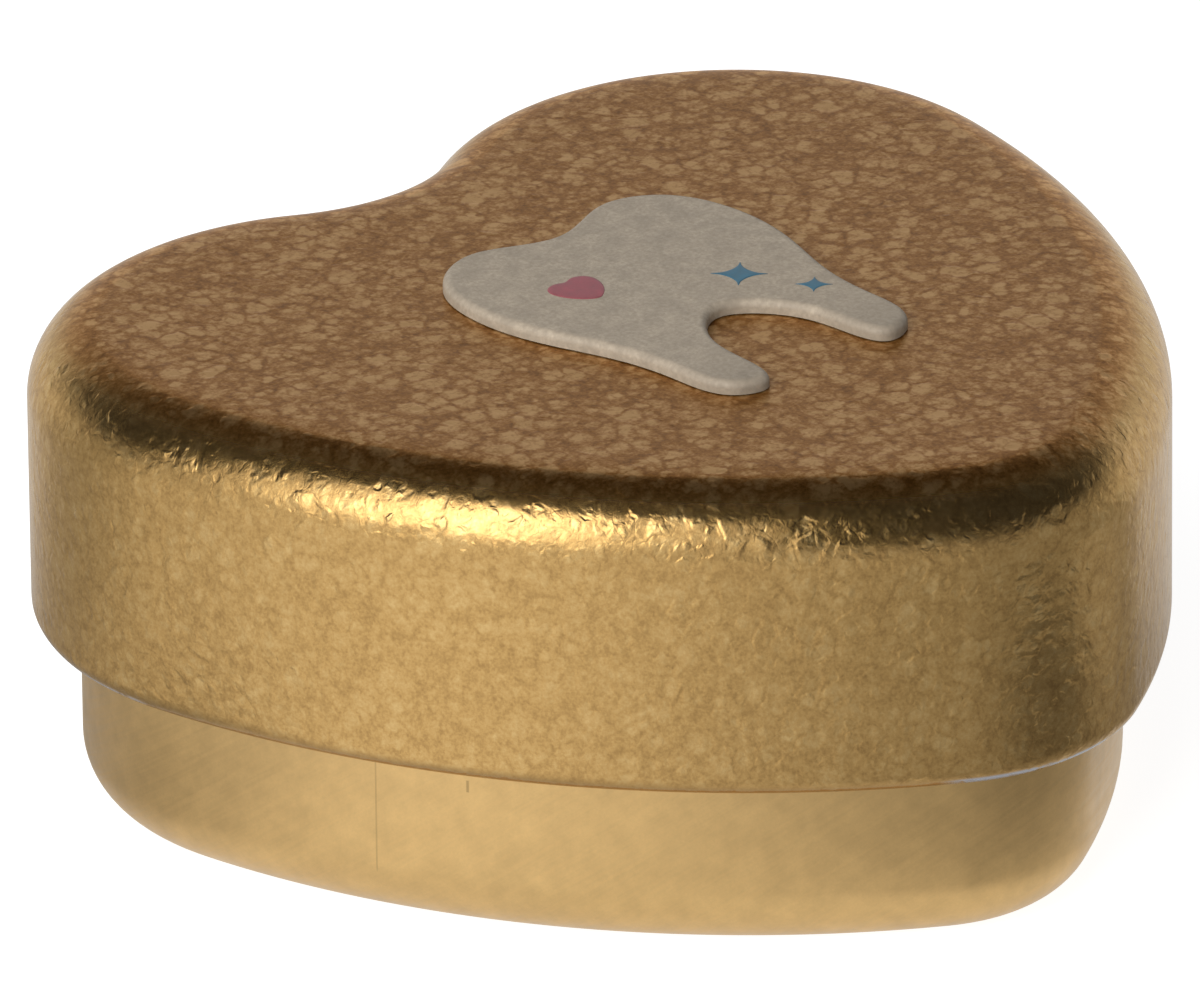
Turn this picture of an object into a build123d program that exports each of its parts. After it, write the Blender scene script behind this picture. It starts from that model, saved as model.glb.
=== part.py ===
from build123d import *
import math
import os

# A small heart-shaped keepsake tin for baby teeth, in millimetres.
# +Z is up, +Y points at the cleft of the heart and -Y at its tip.
# The origin is under the middle of the heart, on the surface the tin stands on.
# A deep-drawn lid slips over a deep-drawn base, and a raised tooth sits on the lid.

# Heart outline, measured round the outside of the lid
lid_width = 46.0
lid_length = 43.1
lobe_radius = 12.75
side_radius = 38.9
tip_radius = 8.9
cleft_radius = 7.5

# Tinplate
sheet = 0.25

# Lid
lid_height = 12.5
shoulder_radius = 3.1
lid_curl_radius = 0.92

# Base
base_reveal = 7.7
heel_radius = 2.8
rim_curl_radius = 0.75
foot_width = 1.1
foot_rise = 0.35
foot_slope = 0.7

# How far each curled edge turns, counted from where it leaves its wall
curl_turn_degrees = 285.0

# Fits
slip_clearance = 0.08
seat_clearance = 0.05

# Raised tooth on the lid
tooth_width = 14.2
tooth_length = 17.0
tooth_thickness = 0.55
tooth_edge_radius = 0.32
tooth_shift = 0.7

# Thin adhesive pad under the crown of the tooth
glue_thickness = 0.08
glue_width = 10.4
glue_length = 7.4
glue_corner_radius = 3.0
glue_shift = 3.8

# Right half of the tooth, from the dip between the cusps to the fork between the roots.
# Each pair is a share of the half width and a share of the length above the root tips.
tooth_half_shares = [
    (0.00, 0.935),
    (0.22, 0.960),
    (0.50, 1.000),
    (0.82, 0.945),
    (0.99, 0.765),
    (0.94, 0.560),
    (0.80, 0.380),
    (0.74, 0.200),
    (0.63, 0.030),
    (0.47, 0.010),
    (0.36, 0.160),
    (0.24, 0.310),
    (0.00, 0.380),
]

# Heights that follow from the sizes above
lid_bottom = base_reveal
lid_top = lid_bottom + lid_height
base_inset = 2 * lid_curl_radius + slip_clearance


def rim_height():
    """Height of the base's rim, which carries the lid inside its rounded shoulder."""
    inner_radius = shoulder_radius - sheet
    rim_inset = base_inset + rim_curl_radius
    sideways = max(0.0, shoulder_radius - rim_inset)
    reach = inner_radius - rim_curl_radius - seat_clearance
    rise = math.sqrt(reach**2 - sideways**2)
    return lid_top - shoulder_radius + rise + rim_curl_radius


def heart_arcs():
    """The outline as (centre x, centre y, radius, first angle, last angle, hollow).

    Angles are in degrees, anticlockwise, and hollow is True for the cleft alone.
    """
    lobe_x = lid_width / 2 - lobe_radius
    lobe_y = lid_length / 2 - lobe_radius
    tip_y = tip_radius - lid_length / 2
    cleft_y = lobe_y + math.sqrt((lobe_radius + cleft_radius) ** 2 - lobe_x**2)
    # Centre of the long side arc, which touches the lobe and the tip from outside both
    span = math.hypot(lobe_x, lobe_y - tip_y)
    to_lobe = side_radius - lobe_radius
    to_tip = side_radius - tip_radius
    along = (to_lobe**2 - to_tip**2 + span**2) / (2 * span)
    across = math.sqrt(to_lobe**2 - along**2)
    down_x, down_y = -lobe_x / span, (tip_y - lobe_y) / span
    side_x = lobe_x + along * down_x + across * down_y
    side_y = lobe_y + along * down_y - across * down_x
    at_cleft = math.degrees(math.atan2(cleft_y - lobe_y, -lobe_x))
    at_lobe = math.degrees(math.atan2(lobe_y - side_y, lobe_x - side_x))
    at_tip = math.degrees(math.atan2(tip_y - side_y, -side_x))
    right = [
        (lobe_x, lobe_y, lobe_radius, at_lobe, at_cleft, False),
        (side_x, side_y, side_radius, at_tip, at_lobe, False),
    ]
    left = [(-x, y, r, 180 - last, 180 - first, h) for x, y, r, first, last, h in right]
    tip = (0, tip_y, tip_radius, -180 - at_tip, at_tip, False)
    cleft = (0, cleft_y, cleft_radius, at_cleft - 180, -at_cleft, True)
    return [tip, *right, cleft, *left]


def arc_radius(arc, inset):
    """Radius of an outline arc that is moved inwards by inset."""
    return arc[2] + inset if arc[5] else arc[2] - inset


def heart_face(inset):
    """Flat face inside the outline, moved inwards by inset."""
    edges = [
        CenterArc((arc[0], arc[1]), arc_radius(arc, inset), arc[3], arc[4] - arc[3])
        for arc in heart_arcs()
    ]
    return make_face(edges)


def heart_plate(inset, low, high):
    """Flat plate between two heights."""
    return extrude(Pos(0, 0, low) * heart_face(inset), high - low)


def heart_ring(profile):
    """A section carried round the outline.

    profile takes a function that turns (inset, height) into a point and returns a closed
    list of edges. Each stretch of the outline is one turned piece.
    """
    pieces = []
    for x, y, radius, first, last, hollow in heart_arcs():
        angle = math.radians(first)
        plane = Plane(
            origin=(x, y, 0),
            x_dir=(math.cos(angle), math.sin(angle), 0),
            z_dir=(math.sin(angle), -math.cos(angle), 0),
        )
        way = 1 if hollow else -1
        section = make_face(profile(lambda inset, height: (radius + way * inset, height)))
        turned = revolve(plane * section, Axis((x, y, 0), (0, 0, 1)), last - first)
        pieces.append(turned)
    return pieces[0].fuse(*pieces[1:])


def curl_arc(place, inset, height, radius, first, last):
    """Arc of a section, about a centre given as inset and height. Angle 0 points inwards."""
    ends = [first, (first + last) / 2, last]
    turns = [math.radians(a) for a in ends]
    return ThreePointArc(
        *[place(inset + radius * math.cos(a), height + radius * math.sin(a)) for a in turns]
    )


def lid_section(place):
    """Shoulder, skirt and inward curl of the lid."""
    low = lid_bottom + lid_curl_radius
    high = lid_top - shoulder_radius
    last = 180 + curl_turn_degrees
    outer, inner = lid_curl_radius, lid_curl_radius - sheet
    edges = [
        curl_arc(place, shoulder_radius, high, shoulder_radius, 90, 180),
        Line(place(0, high), place(0, low)),
        curl_arc(place, lid_curl_radius, low, outer, 180, last),
        curl_arc(place, lid_curl_radius, low, inner, last, 180),
        Line(place(sheet, low), place(sheet, high)),
        curl_arc(place, shoulder_radius, high, shoulder_radius - sheet, 180, 90),
        Line(place(shoulder_radius, lid_top - sheet), place(shoulder_radius, lid_top)),
    ]
    tip = [edges[2] @ 1, edges[3] @ 0]
    return [*edges, Line(*tip)]


def base_section(place):
    """Foot, rounded heel, wall and inward rim curl of the base."""
    high = rim_height() - rim_curl_radius
    last = 180 - curl_turn_degrees
    heel = base_inset + heel_radius
    foot = heel + foot_width
    panel = foot + foot_slope
    centre = base_inset + rim_curl_radius
    inside = base_inset + sheet
    edges = [
        Line(place(panel, foot_rise), place(foot, 0)),
        Line(place(foot, 0), place(heel, 0)),
        curl_arc(place, heel, heel_radius, heel_radius, 270, 180),
        Line(place(base_inset, heel_radius), place(base_inset, high)),
        curl_arc(place, centre, high, rim_curl_radius, 180, last),
        curl_arc(place, centre, high, rim_curl_radius - sheet, last, 180),
        Line(place(inside, high), place(inside, heel_radius)),
        curl_arc(place, heel, heel_radius, heel_radius - sheet, 180, 270),
        Line(place(heel, sheet), place(foot, sheet)),
        Line(place(foot, sheet), place(panel, foot_rise + sheet)),
        Line(place(panel, foot_rise + sheet), place(panel, foot_rise)),
    ]
    tip = [edges[4] @ 1, edges[5] @ 0]
    return [*edges, Line(*tip)]


def lid_shell():
    """Drawn lid: flat panel, rounded shoulder and curled skirt, from one sheet."""
    panel = heart_plate(shoulder_radius, lid_top - sheet, lid_top)
    return heart_ring(lid_section).fuse(panel)


def base_shell():
    """Drawn base: raised bottom panel, foot, heel, wall and curled rim, from one sheet."""
    inset = base_inset + heel_radius + foot_width + foot_slope
    panel = heart_plate(inset, foot_rise, foot_rise + sheet)
    return heart_ring(base_section).fuse(panel)


def tooth_face():
    """Outline of a plain molar with two cusps and two roots, crown towards the cleft."""
    half = tooth_width / 2
    low = tooth_shift - tooth_length / 2
    right = [(half * x, low + tooth_length * y) for x, y in tooth_half_shares]
    left = [(-x, y) for x, y in reversed(right[1:-1])]
    return make_face(Spline(*right, *left, periodic=True))


def tooth_emblem():
    """Raised tooth plate with a rounded upper edge."""
    low = lid_top + glue_thickness
    plate = extrude(Pos(0, 0, low) * tooth_face(), tooth_thickness)
    return fillet(plate.edges().group_by(Axis.Z)[-1], tooth_edge_radius)


def glue_pad():
    """Thin adhesive pad between the crown of the tooth and the lid's flat panel."""
    outline = RectangleRounded(glue_width, glue_length, glue_corner_radius)
    return extrude(Pos(0, glue_shift, lid_top) * outline, glue_thickness)


def write_part(name, shape):
    """Writes one sub-part to its own file."""
    solids = shape.solids()
    export_step(solids[0] if len(solids) == 1 else Compound(solids), f"parts/{name}.step")
    print(name, "solids", len(solids), "volume", round(shape.volume, 2))


os.makedirs("parts", exist_ok=True)
write_part("base_shell", base_shell())
write_part("lid_shell", lid_shell())
write_part("tooth_emblem", tooth_emblem())
write_part("glue_pad", glue_pad())
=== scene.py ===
import math

import bmesh
import bpy
import numpy as np
from bpy.props import FloatProperty, FloatVectorProperty, IntProperty, PointerProperty
from mathutils import Matrix, Vector


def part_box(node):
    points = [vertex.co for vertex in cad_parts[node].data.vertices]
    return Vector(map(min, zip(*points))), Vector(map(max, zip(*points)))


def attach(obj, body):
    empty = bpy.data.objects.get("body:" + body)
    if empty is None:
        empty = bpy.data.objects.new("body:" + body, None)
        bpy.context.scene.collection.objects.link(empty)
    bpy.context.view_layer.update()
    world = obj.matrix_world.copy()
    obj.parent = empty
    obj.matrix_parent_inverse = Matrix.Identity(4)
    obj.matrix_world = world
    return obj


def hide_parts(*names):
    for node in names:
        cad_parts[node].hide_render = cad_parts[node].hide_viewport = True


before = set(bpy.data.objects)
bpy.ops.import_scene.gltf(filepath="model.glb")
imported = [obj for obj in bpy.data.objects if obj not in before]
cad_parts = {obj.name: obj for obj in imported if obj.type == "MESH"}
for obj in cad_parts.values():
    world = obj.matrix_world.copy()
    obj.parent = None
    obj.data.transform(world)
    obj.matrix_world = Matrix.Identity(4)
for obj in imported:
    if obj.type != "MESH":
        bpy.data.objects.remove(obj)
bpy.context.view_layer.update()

bl_info = {
    "name": "Heart Tooth Tin",
    "version": (1, 0, 0),
    "blender": (4, 5, 0),
    "location": "3D View > Sidebar > Tooth Tin",
    "description": "Builds and lights a small heart-shaped keepsake tin with a crackled gold lid",
    "category": "Object",
}

MM = 0.001


# Settings


class TinShape(bpy.types.PropertyGroup):
    """Radii and folds of the two drawn shells. Overall sizes come from the frame."""

    lobe_radius: FloatProperty(
        name="Lobe radius", description="Radius of the heart's two lobes",
        default=12.75 * MM, unit="LENGTH",
    )
    side_radius: FloatProperty(
        name="Side radius", description="Radius of the heart's long sides",
        default=38.9 * MM, unit="LENGTH",
    )
    tip_radius: FloatProperty(
        name="Tip radius", description="Radius of the heart's tip",
        default=8.9 * MM, unit="LENGTH",
    )
    cleft_radius: FloatProperty(
        name="Cleft radius", description="Radius of the hollow between the lobes",
        default=7.5 * MM, unit="LENGTH",
    )
    sheet: FloatProperty(
        name="Sheet", description="Thickness of the tinplate",
        default=0.25 * MM, unit="LENGTH",
    )
    shoulder_radius: FloatProperty(
        name="Shoulder radius", description="Rounding of the lid's upper edge",
        default=3.1 * MM, unit="LENGTH",
    )
    shoulder_ease: FloatProperty(
        name="Shoulder ease", description="Soft start of the rounding on the panel",
        default=1.2 * MM, unit="LENGTH",
    )
    lid_curl_radius: FloatProperty(
        name="Lid curl radius", description="Rolled lower edge of the lid",
        default=0.92 * MM, unit="LENGTH",
    )
    rim_curl_radius: FloatProperty(
        name="Rim curl radius", description="Rolled upper edge of the base",
        default=0.75 * MM, unit="LENGTH",
    )
    heel_radius: FloatProperty(
        name="Heel radius", description="Rounding of the base's lower edge",
        default=2.8 * MM, unit="LENGTH",
    )
    foot_width: FloatProperty(
        name="Foot width", description="Width of the ring the tin stands on",
        default=1.1 * MM, unit="LENGTH",
    )
    foot_slope: FloatProperty(
        name="Foot slope", description="Run of the slope inside the foot ring",
        default=0.7 * MM, unit="LENGTH",
    )
    foot_rise: FloatProperty(
        name="Foot rise", description="Height of the bottom panel above the foot",
        default=0.35 * MM, unit="LENGTH",
    )
    curl_turn: FloatProperty(
        name="Curl turn", description="How far each rolled edge turns",
        default=math.radians(285), subtype="ANGLE",
    )
    outline_step: FloatProperty(
        name="Outline step", description="Spacing of vertices round the heart",
        default=0.45 * MM, unit="LENGTH",
    )


class ToothShape(bpy.types.PropertyGroup):
    """The raised tooth and the enamel marks painted on it."""

    edge_radius: FloatProperty(
        name="Edge radius", description="Rounding of the tooth's upper edge",
        default=0.32 * MM, unit="LENGTH",
    )
    foot_gap: FloatProperty(
        name="Foot gap", description="Gap under the tooth's turned-down edge",
        default=0.045 * MM, unit="LENGTH",
    )
    outline_points: IntProperty(
        name="Outline points", description="Vertices round the tooth", default=280, min=60
    )
    paint: FloatProperty(
        name="Paint", description="Height of the painted marks",
        default=0.03 * MM, unit="LENGTH",
    )
    sparkle: FloatProperty(
        name="Sparkle", description="Width of the larger blue sparkle",
        default=2.3 * MM, unit="LENGTH",
    )
    small_sparkle: FloatProperty(
        name="Small sparkle", description="Width of the smaller blue sparkle",
        default=1.5 * MM, unit="LENGTH",
    )
    heart: FloatProperty(
        name="Heart", description="Width of the rose heart",
        default=2.3 * MM, unit="LENGTH",
    )


class TinColours(bpy.types.PropertyGroup):
    """Colours of the finishes, as linear light."""

    skirt_deep: FloatVectorProperty(
        name="Skirt deep", description="Darkest lacquer on the lid's skirt",
        default=(0.47, 0.278, 0.096), subtype="COLOR",
    )
    skirt_gold: FloatVectorProperty(
        name="Skirt gold", description="Lacquer on the lid's skirt",
        default=(0.64, 0.395, 0.140), subtype="COLOR",
    )
    skirt_pale: FloatVectorProperty(
        name="Skirt pale", description="Pale pebbles on the lid's skirt",
        default=(0.77, 0.52, 0.215), subtype="COLOR",
    )
    panel_deep: FloatVectorProperty(
        name="Panel deep", description="Darkest lacquer on the lid's top",
        default=(0.29, 0.107, 0.010), subtype="COLOR",
    )
    panel_gold: FloatVectorProperty(
        name="Panel gold", description="Lacquer on the lid's top",
        default=(0.51, 0.220, 0.044), subtype="COLOR",
    )
    panel_pale: FloatVectorProperty(
        name="Panel pale", description="Pale pebbles on the lid's top",
        default=(0.86, 0.500, 0.200), subtype="COLOR",
    )
    base_gold: FloatVectorProperty(
        name="Base gold", description="Satin lacquer on the base",
        default=(0.84, 0.555, 0.228), subtype="COLOR",
    )
    tin: FloatVectorProperty(
        name="Tin", description="Bare tinplate",
        default=(0.62, 0.62, 0.60), subtype="COLOR",
    )
    # The worn edge colour also stands in for a painted reflection of the table along the rolled edge
    worn_edge_and_reflection: FloatVectorProperty(
        name="Worn edge", description="Rubbed lower edge of the lid",
        default=(0.26, 0.28, 0.33), subtype="COLOR",
    )
    ivory: FloatVectorProperty(
        name="Ivory", description="Enamel on the tooth",
        default=(0.345, 0.288, 0.219), subtype="COLOR",
    )
    blue: FloatVectorProperty(
        name="Blue", description="Enamel of the sparkles",
        default=(0.045, 0.128, 0.185), subtype="COLOR",
    )
    rose: FloatVectorProperty(
        name="Rose", description="Enamel of the small heart",
        default=(0.265, 0.075, 0.088), subtype="COLOR",
    )


class TinStage(bpy.types.PropertyGroup):
    """Where the camera stands and how strong the lights are."""

    azimuth: FloatProperty(
        name="Azimuth", description="Camera's turn about the tin",
        default=math.radians(-42.9), subtype="ANGLE",
    )
    elevation: FloatProperty(
        name="Elevation", description="Camera's height above the table",
        default=math.radians(24.55), subtype="ANGLE",
    )
    roll: FloatProperty(
        name="Roll", description="Camera's lean",
        default=math.radians(-0.58), subtype="ANGLE",
    )
    distance: FloatProperty(
        name="Distance", description="Camera's distance from the tin's middle",
        default=0.85, unit="LENGTH",
    )
    field_width: FloatProperty(
        name="Field width", description="Width of the picture at the tin",
        default=47.24 * MM, unit="LENGTH",
    )
    aim_right: FloatProperty(
        name="Aim right", description="How far right of the tin's middle the camera aims",
        default=-3.82 * MM, unit="LENGTH",
    )
    aim_up: FloatProperty(
        name="Aim up", description="How far above the tin's middle the camera aims",
        default=1.725 * MM, unit="LENGTH",
    )
    plain_level: FloatProperty(
        name="Plain level", description="Light that matt surfaces get from the horizon",
        default=0.65, min=0,
    )
    softbox_level: FloatProperty(
        name="Softbox level", description="Level of the soft light in gloss",
        default=2.6, min=0,
    )
    lamp_level: FloatProperty(
        name="Lamp level", description="Level of the soft light on matt surfaces",
        default=4.5, min=0,
    )
    light_turn: FloatProperty(
        name="Light turn", description="Heading of the softbox, from the camera's",
        default=math.radians(-36), subtype="ANGLE",
    )
    bright_level: FloatProperty(
        name="Bright level", description="Level of the studio in gloss, under the softbox",
        default=0.92, min=0,
    )
    dim_level: FloatProperty(
        name="Dim level", description="Level of the studio in gloss, away from the softbox",
        default=0.34, min=0,
    )
    rear_level: FloatProperty(
        name="Rear level", description="Level of the studio in gloss, behind the tin",
        default=0.58, min=0,
    )
    ceiling_share: FloatProperty(
        name="Ceiling share", description="Level of the ceiling, as a share of the horizon's",
        default=0.12, min=0, max=1,
    )


class ToothTinSettings(bpy.types.PropertyGroup):
    """All settings of the tin."""

    shape: PointerProperty(type=TinShape)
    tooth: PointerProperty(type=ToothShape)
    colours: PointerProperty(type=TinColours)
    stage: PointerProperty(type=TinStage)


# Outline of the heart


def heart_arcs(width, length, lobe, side, tip, cleft):
    """Arcs of the heart in order: centre, radius, first and last angle, and the way of an inset.

    An inset shrinks the radius of the round arcs (-1) and widens that of the hollow cleft (1).
    """
    lobe_x = width / 2 - lobe
    lobe_y = length / 2 - lobe
    tip_y = tip - length / 2
    cleft_y = lobe_y + math.sqrt((lobe + cleft) ** 2 - lobe_x**2)
    span = math.hypot(lobe_x, lobe_y - tip_y)
    to_lobe, to_tip = side - lobe, side - tip
    along = (to_lobe**2 - to_tip**2 + span**2) / (2 * span)
    across = math.sqrt(to_lobe**2 - along**2)
    down_x, down_y = -lobe_x / span, (tip_y - lobe_y) / span
    side_x = lobe_x + along * down_x + across * down_y
    side_y = lobe_y + along * down_y - across * down_x
    at_cleft = math.atan2(cleft_y - lobe_y, -lobe_x)
    at_lobe = math.atan2(lobe_y - side_y, lobe_x - side_x)
    at_tip = math.atan2(tip_y - side_y, -side_x)
    return [
        (0, tip_y, tip, -math.pi - at_tip, at_tip, -1),
        (side_x, side_y, side, at_tip, at_lobe, -1),
        (lobe_x, lobe_y, lobe, at_lobe, at_cleft, -1),
        (0, cleft_y, cleft, at_cleft - math.pi, -at_cleft, 1),
        (-lobe_x, lobe_y, lobe, math.pi - at_cleft, math.pi - at_lobe, -1),
        (-side_x, side_y, side, math.pi - at_lobe, math.pi - at_tip, -1),
    ]


def heart_rays(arcs, step):
    """Stations round the heart: centre, direction, radius and way, evenly spaced on each arc."""
    fewest = 6
    rays = []
    for x, y, radius, first, last, way in arcs:
        count = max(fewest, round(abs(last - first) * radius / step))
        for i in range(count):
            angle = first + (last - first) * i / count
            rays.append((x, y, math.cos(angle), math.sin(angle), radius, way))
    return rays


def station(ray, inset):
    """Point of the outline at one station, moved inwards by inset."""
    x, y, dx, dy, radius, way = ray
    reach = radius + way * inset
    return x + dx * reach, y + dy * reach


def tin_rays(scale=1.0):
    """Stations round the lid's outline. A larger scale spaces them wider."""
    shape = bpy.context.scene.tooth_tin.shape
    low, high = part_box("lid_shell")
    arcs = heart_arcs(
        high.x - low.x,
        high.y - low.y,
        shape.lobe_radius,
        shape.side_radius,
        shape.tip_radius,
        shape.cleft_radius,
    )
    return heart_rays(arcs, shape.outline_step * scale)


def arc(inset, height, radius, first, last, count):
    """Points of a rounded fold in the section, as (inset, height). Angle 0 points inwards."""
    angles = [first + (last - first) * i / count for i in range(count + 1)]
    return [(inset + radius * math.cos(a), height + radius * math.sin(a)) for a in angles]


def rounded(points, radius, count):
    """The same run of points with each inner corner rounded, by a share of its sides at most."""
    trim_share = 0.45
    run = [points[0]]
    for before, corner, after in zip(points, points[1:], points[2:]):
        a, b, c = Vector(before), Vector(corner), Vector(after)
        back, on = (a - b).normalized(), (c - b).normalized()
        room = trim_share * min((a - b).length, (c - b).length)
        trim = min(radius / math.tan(back.angle(on) / 2), room)
        start, end = b + back * trim, b + on * trim
        for i in range(count + 1):
            t = i / count
            bent = start * (1 - t) ** 2 + b * (2 * t * (1 - t)) + end * t**2
            run.append(tuple(bent))
    return run + [points[-1]]


# Meshes


def ring_of(made, points):
    """One ring of new vertices."""
    return [made.verts.new(point) for point in points]


def bridge(made, first, second, slot=0):
    """A closed strip of faces between two rings."""
    for i in range(len(first)):
        k = (i + 1) % len(first)
        made.faces.new((first[i], first[k], second[k], second[i])).material_index = slot


def harden(made, ring):
    """Makes the edges round a ring hard."""
    for i, vertex in enumerate(ring):
        made.edges.get((vertex, ring[(i + 1) % len(ring)])).smooth = False


def make_object(name, mesh, materials):
    """A new object with its materials."""
    for material in materials:
        mesh.materials.append(material)
    thing = bpy.data.objects.new(name, mesh)
    bpy.context.scene.collection.objects.link(thing)
    return thing


def finish_mesh(made, name, materials):
    """Turns a closed run of faces into a smooth-shaded object."""
    bmesh.ops.recalc_face_normals(made, faces=made.faces)
    for face in made.faces:
        face.smooth = True
    mesh = bpy.data.meshes.new(name)
    made.to_mesh(mesh)
    made.free()
    return make_object(name, mesh, materials)


def drawn_shell(name, outer, inner, materials):
    """Carries a section round the heart and closes its two ends with flat panels.

    outer runs from the panel to the end of the rolled edge, and inner runs back inside the sheet,
    both as (inset, height). materials holds the finish outside and the one inside.
    """
    rays = tin_rays()
    made = bmesh.new()
    rings = [
        ring_of(made, ((*station(ray, inset), height) for ray in rays))
        for inset, height in outer + inner
    ]
    last = len(outer) - 1
    for j, (first, second) in enumerate(zip(rings, rings[1:])):
        bridge(made, first, second, 0 if j < last else 1)
    made.faces.new(rings[0]).material_index = 0
    made.faces.new(rings[-1]).material_index = 1
    harden(made, rings[last])
    harden(made, rings[last + 1])
    return finish_mesh(made, name, materials)


# Section of a painted mark: share of its outline, and share of its height
MARK_SHARES = ((1.0, 0.0), (0.985, 0.42), (0.94, 0.72), (0.84, 0.9), (0.55, 0.985))


def dome(name, outline, foot, rise, material):
    """A drop of enamel with the given outline, highest in the middle."""
    made = bmesh.new()
    cx = sum(x for x, _ in outline) / len(outline)
    cy = sum(y for _, y in outline) / len(outline)
    rings = []
    for grow, lift in MARK_SHARES:
        height = foot + rise * lift
        points = ((cx + (x - cx) * grow, cy + (y - cy) * grow, height) for x, y in outline)
        rings.append(ring_of(made, points))
    for lower, upper in zip(rings, rings[1:]):
        bridge(made, lower, upper)
    top = made.verts.new((cx, cy, foot + rise))
    ring = rings[-1]
    for i, vertex in enumerate(ring):
        made.faces.new((vertex, ring[(i + 1) % len(ring)], top))
    made.faces.new(list(reversed(rings[0])))
    return finish_mesh(made, name, [material])


# Shader helpers


def add(tree, kind, inputs=None, **settings):
    """Adds a node, sets it and fills its sockets with values or links."""
    node = tree.nodes.new(kind)
    for key, value in settings.items():
        setattr(node, key, value)
    for key, value in (inputs or {}).items():
        if isinstance(value, bpy.types.NodeSocket):
            tree.links.new(value, node.inputs[key])
        else:
            node.inputs[key].default_value = value
    return node


# Each helper from here to shades gives its output socket, apart from noise and tinted


def maths(tree, operation, a, b=0.0, clamp=False):
    """One sum."""
    return add(tree, "ShaderNodeMath", {0: a, 1: b}, operation=operation, use_clamp=clamp).outputs[0]


def product(tree, a, b):
    """One value times another."""
    return maths(tree, "MULTIPLY", a, b)


def weighted(tree, *terms):
    """Sum of values, each times its share."""
    result = 0.0
    for value, share in terms:
        inputs = {0: value, 1: share, 2: result}
        result = add(tree, "ShaderNodeMath", inputs, operation="MULTIPLY_ADD").outputs[0]
    return result


def vectors(tree, operation, *terms, scale=None):
    """One sum with vectors, which gives a vector, or a value for a length."""
    inputs = dict(enumerate(terms))
    if scale is not None:
        inputs["Scale"] = scale
    node = add(tree, "ShaderNodeVectorMath", inputs, operation=operation)
    gives_value = operation in ("DISTANCE", "LENGTH", "DOT_PRODUCT")
    return node.outputs["Value" if gives_value else "Vector"]


def height_of(tree, vector):
    """Upward share of a vector."""
    return add(tree, "ShaderNodeSeparateXYZ", {0: vector}).outputs["Z"]


def ramp(tree, value, low, high, to_low=0.0, to_high=1.0, smooth=True):
    """A value spread from one range to another."""
    return add(
        tree,
        "ShaderNodeMapRange",
        {"Value": value, "From Min": low, "From Max": high, "To Min": to_low, "To Max": to_high},
        interpolation_type="SMOOTHSTEP" if smooth else "LINEAR",
    ).outputs["Result"]


def choose(tree, share, first, second):
    """A mix of two levels."""
    inputs = {"Factor": share, 2: first, 3: second}
    return add(tree, "ShaderNodeMix", inputs, data_type="FLOAT").outputs[0]


def blend(tree, share, first, second):
    """A mix of two colours."""
    inputs = {"Factor": share, 6: first, 7: second}
    return add(tree, "ShaderNodeMix", inputs, data_type="RGBA").outputs[2]


def offset(tree, colour):
    """A random colour as a push to either side."""
    return vectors(tree, "ADD", colour, (-0.5, -0.5, -0.5))


def noise(tree, place, scale, **values):
    """Cloudy noise, as all its outputs."""
    return add(tree, "ShaderNodeTexNoise", {"Vector": place, "Scale": scale, **values}).outputs


def tinted(colour, factor=1.0):
    """A colour made darker or lighter, with its alpha."""
    return (*[c * factor for c in colour], 1.0)


def shades(tree, mask, colour, dark, light):
    """One colour from a darker to a lighter shade of it."""
    return blend(tree, mask, tinted(colour, dark), tinted(colour, light))


# Shared effects


def new_group(name, inputs, outputs):
    """A shader node group, with its own input and output sockets.

    inputs names its values with their defaults, where None stands for a vector. Outputs are values.
    """
    group = bpy.data.node_groups.new(name, "ShaderNodeTree")
    for label, default in inputs.items():
        kind = "NodeSocketVector" if default is None else "NodeSocketFloat"
        socket = group.interface.new_socket(label, in_out="INPUT", socket_type=kind)
        if default is not None:
            socket.default_value = default
    for label in outputs:
        group.interface.new_socket(label, in_out="OUTPUT", socket_type="NodeSocketFloat")
    source = group.nodes.new("NodeGroupInput")
    sink = group.nodes.new("NodeGroupOutput")
    return group, source.outputs, sink.inputs


def use_group(tree, name, make, places, **values):
    """Places a shared group, which is made the first time, and gives its outputs."""
    group = bpy.data.node_groups.get(name) or make(name)
    return add(tree, "ShaderNodeGroup", {"Vector": places, **values}, node_tree=group).outputs


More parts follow.
